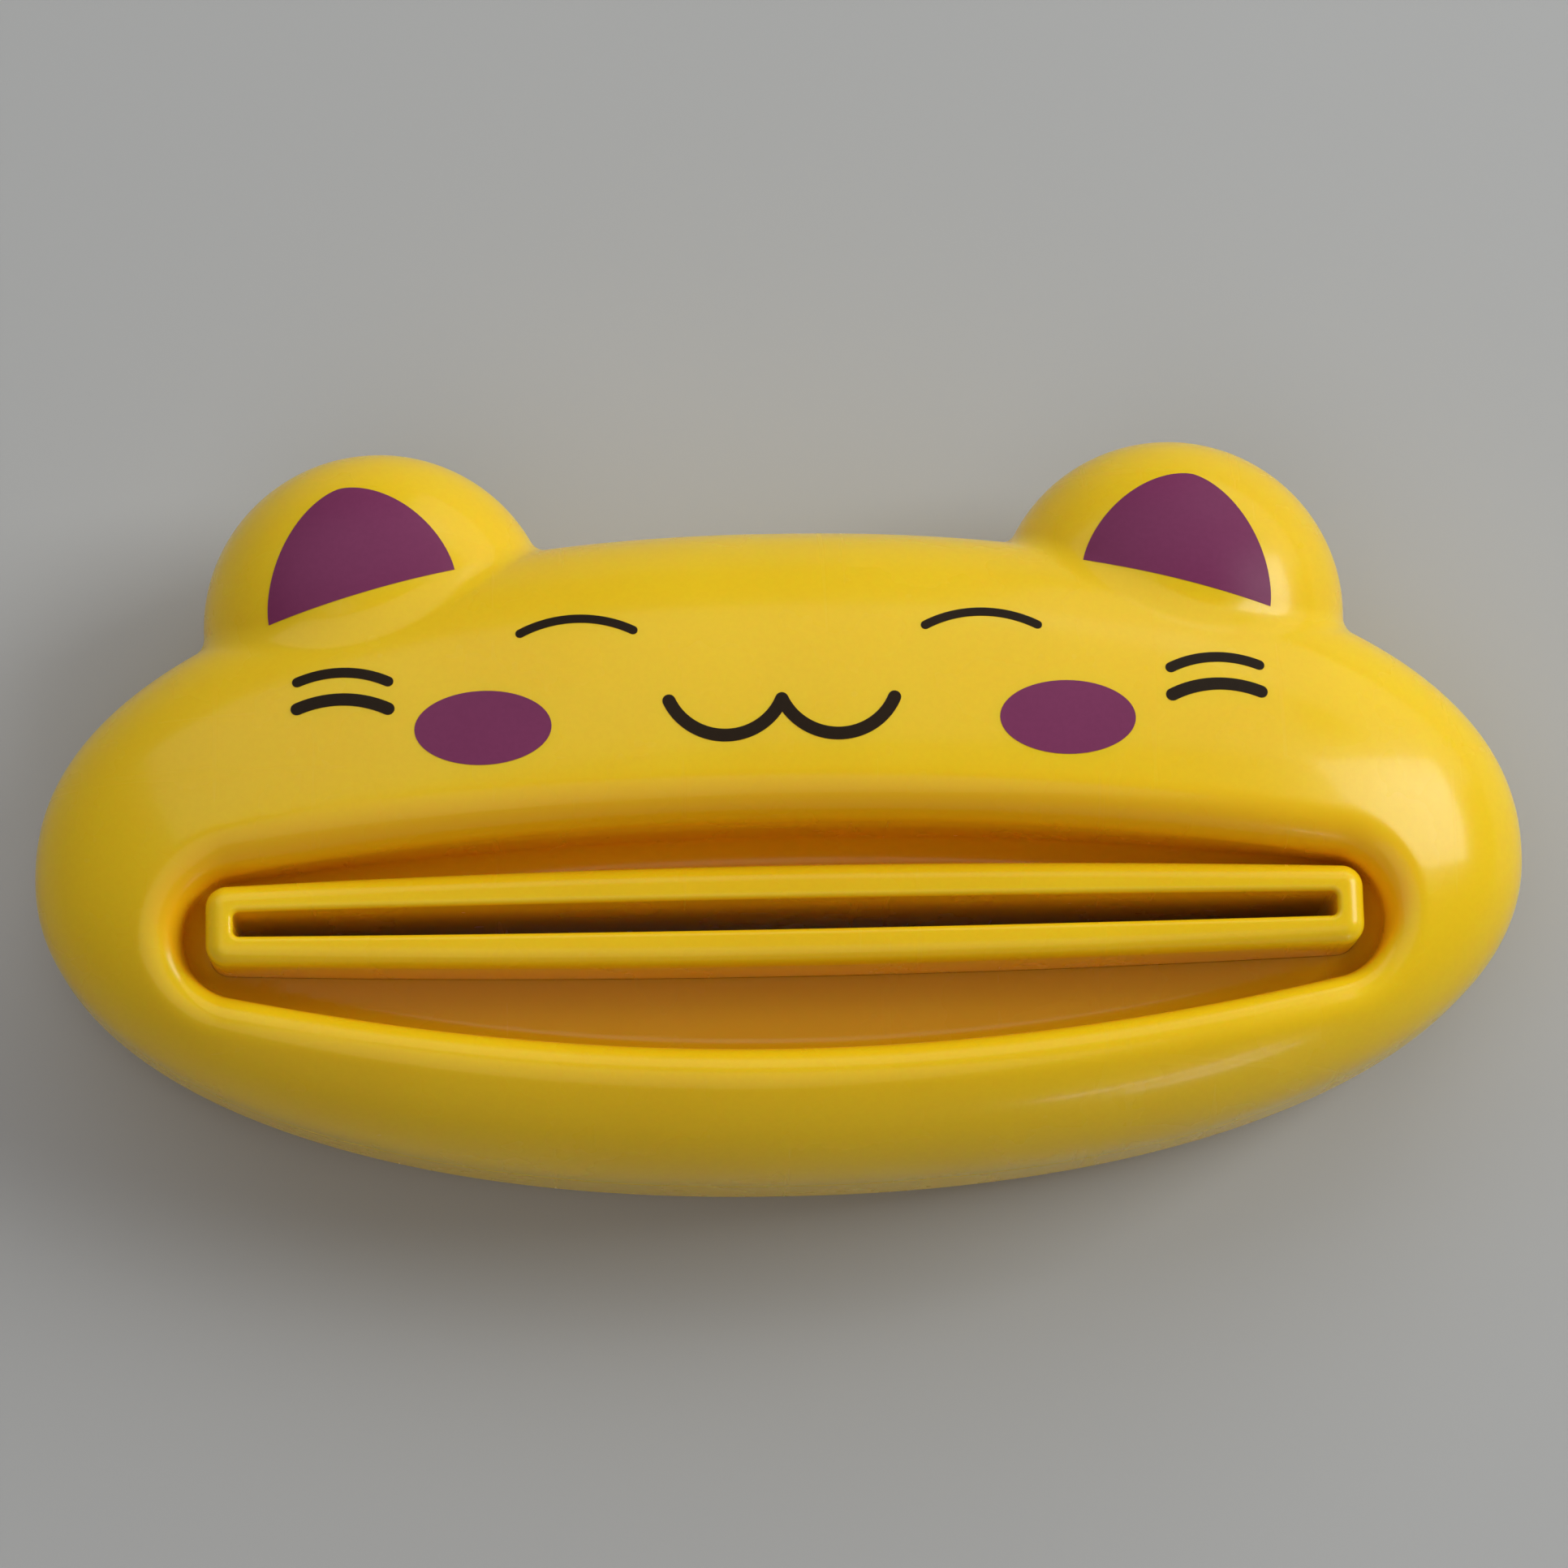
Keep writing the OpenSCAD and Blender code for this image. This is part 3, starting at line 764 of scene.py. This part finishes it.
def plastic(name, low, high, roughness, bump, gloss, glow=0.0, coat=0.0, shade_colours=None):
    """Moulded plastic or ink: colour that drifts from low to high, a fine orange peel,
    faint scratches, and a roughness that varies. The two colours of painted shade, orange and then
    dark brown, follow the depth."""
    mat = bpy.data.materials.new(name)
    mat.use_nodes = True
    nodes = mat.node_tree.nodes
    links = mat.node_tree.links
    shader = nodes["Principled BSDF"]
    shader.inputs["IOR"].default_value = 1.5
    shader.inputs["Specular IOR Level"].default_value = gloss
    shader.inputs["Coat Weight"].default_value = coat
    shader.inputs["Coat Roughness"].default_value = COAT_ROUGHNESS
    shader.inputs["Subsurface Weight"].default_value = glow
    shader.inputs["Subsurface Radius"].default_value = GLOW_RADIUS
    shader.inputs["Subsurface Scale"].default_value = GLOW_SCALE
    place = nodes.new("ShaderNodeTexCoord")

    def noise(scale, detail, stretch=(1, 1, 1), turn=(0, 0, 0)):
        mapping = nodes.new("ShaderNodeMapping")
        mapping.inputs["Scale"].default_value = stretch
        mapping.inputs["Rotation"].default_value = turn
        texture = nodes.new("ShaderNodeTexNoise")
        texture.inputs["Scale"].default_value = scale
        texture.inputs["Detail"].default_value = detail
        links.new(place.outputs["Object"], mapping.inputs["Vector"])
        links.new(mapping.outputs["Vector"], texture.inputs["Vector"])
        return texture.outputs["Fac"]

    def ranged(value, from_low, from_high, to_low, to_high):
        node = nodes.new("ShaderNodeMapRange")
        for socket, number in zip(("From Min", "From Max", "To Min", "To Max"),
                                  (from_low, from_high, to_low, to_high)):
            node.inputs[socket].default_value = number
        links.new(value, node.inputs["Value"])
        return node.outputs["Result"]

    def maths(operation, a, b):
        node = nodes.new("ShaderNodeMath")
        node.operation = operation
        links.new(a, node.inputs[0])
        if isinstance(b, float):
            node.inputs[1].default_value = b
        else:
            links.new(b, node.inputs[1])
        return node.outputs["Value"]

    drift = ranged(noise(DRIFT_SCALE, 3), *NOISE_SPAN, 0, DRIFT_SHARE)
    grain = ranged(noise(GRAIN_SCALE, 2), *GRAIN_SPAN, 0, GRAIN_SHARE)
    tint = maths("ADD", drift, grain)
    tints = nodes.new("ShaderNodeValToRGB")
    for stop, shade in zip(tints.color_ramp.elements, (low, high)):
        stop.color = (*shade, 1)
    links.new(tint, tints.inputs["Fac"])
    colour = tints.outputs["Color"]
    # Painted shade: the depth attribute mixes the colour to orange and then dark brown in the mouth.
    if shade_colours:
        depth = nodes.new("ShaderNodeAttribute")
        depth.attribute_name = "depth"
        shades = nodes.new("ShaderNodeValToRGB")
        shades.color_ramp.elements[0].position = HALF_SHADE
        for stop, shade in zip(shades.color_ramp.elements, shade_colours):
            stop.color = (*shade, 1)
        links.new(depth.outputs["Fac"], shades.inputs["Fac"])
        mix = nodes.new("ShaderNodeMixRGB")
        links.new(shades.outputs["Color"], mix.inputs["Color2"])
        links.new(ranged(depth.outputs["Fac"], 0, HALF_SHADE, 0, 1), mix.inputs["Fac"])
        links.new(colour, mix.inputs["Color1"])
        colour = mix.outputs["Color"]
    links.new(colour, shader.inputs["Base Color"])

    along, across = (ranged(noise(scale, 2, stretch, turn), *span, 0, 1)
                     for scale, stretch, turn, span in SCRATCHES)
    marks = maths("MAXIMUM", along, across)
    uneven = ranged(noise(ROUGHNESS_SCALE, 3), *NOISE_SPAN, *roughness)
    rough = maths("ADD", uneven, maths("MULTIPLY", marks, SCRATCH_ROUGHNESS))
    links.new(rough, shader.inputs["Roughness"])

    relief = maths("SUBTRACT", noise(PEEL_SCALE, 3), maths("MULTIPLY", marks, SCRATCH_DEPTH))
    bumped = nodes.new("ShaderNodeBump")
    bumped.inputs["Strength"].default_value = 1.0
    bumped.inputs["Distance"].default_value = bump
    links.new(relief, bumped.inputs["Height"])
    links.new(bumped.outputs["Normal"], shader.inputs["Normal"])
    return mat


# Its last two colours are painted shade inside the mouth, on the collar and in the slot.
yellow = plastic("yellow_plastic_look", low=(0.89, 0.56, 0.006), high=(0.95, 0.615, 0.007),
                 roughness=(0.22, 0.30), bump=3e-6, gloss=0.22, glow=0.3, coat=0.18,
                 shade_colours=((0.98, 0.50, 0.005), (0.64, 0.31, 0.004)))
purple = plastic("purple_ink_look", low=(0.18, 0.029, 0.095), high=(0.215, 0.037, 0.115),
                 roughness=(0.32, 0.42), bump=4e-6, gloss=0.12)
black = plastic("black_ink_look", low=(0.016, 0.009, 0.004), high=(0.024, 0.013, 0.006),
                roughness=(0.35, 0.45), bump=4e-6, gloss=0.08)


def dress(piece, node, material):
    """Gives a piece its material and slot, the body it rides and the node it replaces."""
    piece.data.materials.append(material)
    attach(piece, "root")
    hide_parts(node)


def inner_ear_print(side, word):
    shape = turned(inner_ear_outline(), INNER_EAR_TURN)*(side, 1)
    shape = shape + (side*(EAR_X + INNER_EAR_X) + PURPLE_ASIDE, EAR_Y + INNER_EAR_Y)
    film = outline_film(word + "_inner_ear_print", shape[::side], INNER_EAR_STEP)
    dress(film, word + "_inner_ear", purple)


def cheek_print(side, word):
    shape = oval_outline(CHEEK_W, CHEEK_H) + (side*CHEEK_X + PURPLE_ASIDE, CHEEK_Y)
    film = outline_film(word + "_cheek_print", shape, CHEEK_STEP)
    dress(film, word + "_cheek", purple)


def eye_print(side, word):
    shape = stroke_outline(EYE_W, EYE_RISE, EYE_STROKE) + (side*EYE_X + BLACK_ASIDE, EYE_Y)
    film = outline_film(word + "_eye_print", shape, EYE_STEP)
    dress(film, word + "_eye", black)


def whisker_prints(side, word):
    for n, thick in enumerate(WHISKER_STROKES):
        shape = turned(stroke_outline(WHISKER_W, WHISKER_RISE, thick), side*WHISKER_TURN)
        shape = shape + (side*WHISKER_X + BLACK_ASIDE, WHISKER_Y - n*WHISKER_GAP)
        film = outline_film("%s_whisker_%d_print" % (word, n + 1), shape, STROKE_STEP)
        dress(film, word + "_whiskers", black)


def smile_print():
    film = outline_film("smile_print", smile_outline() + (BLACK_ASIDE, 0), STROKE_STEP)
    dress(film, "smile", black)


front_piece = shell("front_shell_moulding", front_head, FACE_DEPTH, False)
rear_piece = shell("rear_shell_moulding", back_head, REST_DEPTH, True)
dress(front_piece, "front_shell", yellow)
dress(rear_piece, "rear_shell", yellow)
dress(sleeve("slot_sleeve_moulding"), "slot_sleeve", yellow)
for side, word in ((-1, "left"), (1, "right")):
    inner_ear_print(side, word)
    cheek_print(side, word)
    eye_print(side, word)
    whisker_prints(side, word)
smile_print()


# Camera, from the photograph: it looks down on the face a little from the chin's side.
# Lengths are in millimetres and angles in degrees.
VIEW_TARGET = (0.29, 1.826, 12.681)
VIEW_DISTANCE = 380.0
VIEW_TILT = 11.0
VIEW_YAW = -2.0
VIEW_ROLL = 1.45
VIEW_LENS = 132.2
VIEW_SENSOR = 36
VIEW_CLIP = 10

# Lamps: azimuth and elevation in degrees, size in metres, power in watts and colour
LAMP_DISTANCE = 0.9
LAMPS = (
    ("window", 17, 36, (0.4, 0.45), 4.3, (0.97, 1.0, 0.96)),
    ("doorway", 50, 20, (0.9, 0.45), 1.4, (0.97, 1.0, 0.98)),
    ("skylight", 100, 48, (1.4, 0.7), 3.1, (0.98, 1.0, 1.0)),
    ("ceiling", 238, 68, (0.9, 0.8), 1.9, (1.0, 0.96, 0.90)),
    ("room", 255, 18, (0.9, 0.5), 0.3, (1.0, 0.75, 0.45)),
    ("blind_low", -62, 8, (0.25, 0.007), 0.2, (1, 1, 1)),
    ("blind_high", -65, 13, (0.3, 0.007), 0.22, (1, 1, 1)),
)
WORLD_LIGHT = (0.9, 0.95, 1.0)
WORLD_STRENGTH = 0.06

# Floor and backdrop, in metres, with the distances between which one becomes the other
FLOOR_COLOUR = (0.445, 0.445, 0.455)
FLOOR_ROUGHNESS = 0.6
FLOOR_HALF = 2.5
FLOOR_NEAR = 0.25
FLOOR_FAR = 1.0
BACKDROP = (0.30, 0.30, 0.305)


def set_camera():
    tilt = math.radians(VIEW_TILT)
    yaw = math.radians(VIEW_YAW)
    roll = math.radians(VIEW_ROLL)
    back = Vector((math.sin(yaw)*math.cos(tilt), -math.sin(tilt), math.cos(yaw)*math.cos(tilt)))
    up = (Vector((0, 1, 0)) - back*back.y).normalized()
    right = up.cross(back)
    up, right = up*math.cos(roll) + right*math.sin(roll), right*math.cos(roll) - up*math.sin(roll)
    camera = bpy.data.objects.new("camera", bpy.data.cameras.new("camera"))
    camera.data.lens = VIEW_LENS
    camera.data.sensor_width = VIEW_SENSOR
    camera.data.clip_start = VIEW_CLIP*MM
    spot = Vector(VIEW_TARGET)*MM + back*VIEW_DISTANCE*MM
    rows = [(right[n], up[n], back[n], spot[n]) for n in range(3)]
    camera.matrix_world = Matrix(rows + [(0, 0, 0, 1)])
    bpy.context.scene.collection.objects.link(camera)
    bpy.context.scene.camera = camera


def lamp(name, azimuth, elevation, size, power, colour):
    """A soft rectangular lamp that shines at the part from a direction in degrees."""
    data = bpy.data.lights.new(name, "AREA")
    data.shape = "RECTANGLE"
    data.size, data.size_y = size
    data.energy = power
    data.color = colour
    piece = bpy.data.objects.new(name, data)
    around = math.radians(azimuth)
    rise = math.radians(elevation)
    toward = Vector((math.cos(rise)*math.cos(around), math.cos(rise)*math.sin(around), math.sin(rise)))
    piece.location = toward*LAMP_DISTANCE
    piece.rotation_mode = "QUATERNION"
    piece.rotation_quaternion = toward.to_track_quat("Z", "Y")
    bpy.context.scene.collection.objects.link(piece)


def backdrop_rays(nodes, links):
    """1 for the rays that see the plain backdrop, and 0 for those that light the object."""
    path = nodes.new("ShaderNodeLightPath")
    seen = path.outputs["Is Camera Ray"]
    for ray in ("Is Glossy Ray", "Is Transmission Ray"):
        either = nodes.new("ShaderNodeMath")
        either.operation = "MAXIMUM"
        links.new(seen, either.inputs[0])
        links.new(path.outputs[ray], either.inputs[1])
        seen = either.outputs["Value"]
    return seen


def set_floor():
    """A plain floor that goes over into the backdrop's tone far from the object."""
    data = bpy.data.meshes.new("floor")
    corners = [(-FLOOR_HALF, -FLOOR_HALF, 0), (FLOOR_HALF, -FLOOR_HALF, 0),
               (FLOOR_HALF, FLOOR_HALF, 0), (-FLOOR_HALF, FLOOR_HALF, 0)]
    data.from_pydata(corners, [], [(0, 1, 2, 3)])
    data.update()
    floor = bpy.data.objects.new("floor", data)
    bpy.context.scene.collection.objects.link(floor)
    mat = bpy.data.materials.new("floor_look")
    mat.use_nodes = True
    nodes = mat.node_tree.nodes
    links = mat.node_tree.links
    shader = nodes["Principled BSDF"]
    shader.inputs["Base Color"].default_value = (*FLOOR_COLOUR, 1)
    shader.inputs["Roughness"].default_value = FLOOR_ROUGHNESS
    plain = nodes.new("ShaderNodeEmission")
    plain.inputs["Color"].default_value = (*BACKDROP, 1)
    place = nodes.new("ShaderNodeTexCoord")
    away = nodes.new("ShaderNodeVectorMath")
    away.operation = "LENGTH"
    links.new(place.outputs["Object"], away.inputs[0])
    far = nodes.new("ShaderNodeMapRange")
    far.interpolation_type = "SMOOTHSTEP"
    far.inputs["From Min"].default_value = FLOOR_NEAR
    far.inputs["From Max"].default_value = FLOOR_FAR
    links.new(away.outputs["Value"], far.inputs["Value"])
    share = nodes.new("ShaderNodeMath")
    share.operation = "MULTIPLY"
    links.new(far.outputs["Result"], share.inputs[0])
    links.new(backdrop_rays(nodes, links), share.inputs[1])
    mix = nodes.new("ShaderNodeMixShader")
    links.new(share.outputs["Value"], mix.inputs["Fac"])
    links.new(shader.outputs["BSDF"], mix.inputs[1])
    links.new(plain.outputs["Emission"], mix.inputs[2])
    links.new(mix.outputs["Shader"], nodes["Material Output"].inputs["Surface"])
    data.materials.append(mat)


def set_world():
    """A dim even light, with a plain grey backdrop wherever the floor ends."""
    world = bpy.data.worlds.new("studio")
    world.use_nodes = True
    nodes = world.node_tree.nodes
    links = world.node_tree.links
    light = nodes["Background"]
    light.inputs["Color"].default_value = (*WORLD_LIGHT, 1)
    light.inputs["Strength"].default_value = WORLD_STRENGTH
    backdrop = nodes.new("ShaderNodeBackground")
    backdrop.inputs["Color"].default_value = (*BACKDROP, 1)
    mix = nodes.new("ShaderNodeMixShader")
    links.new(backdrop_rays(nodes, links), mix.inputs["Fac"])
    links.new(light.outputs["Background"], mix.inputs[1])
    links.new(backdrop.outputs["Background"], mix.inputs[2])
    links.new(mix.outputs["Shader"], nodes["World Output"].inputs["Surface"])
    bpy.context.scene.world = world


set_camera()
set_floor()
for row in LAMPS:
    lamp(*row)
set_world()
bpy.context.scene.view_settings.view_transform = "Standard"
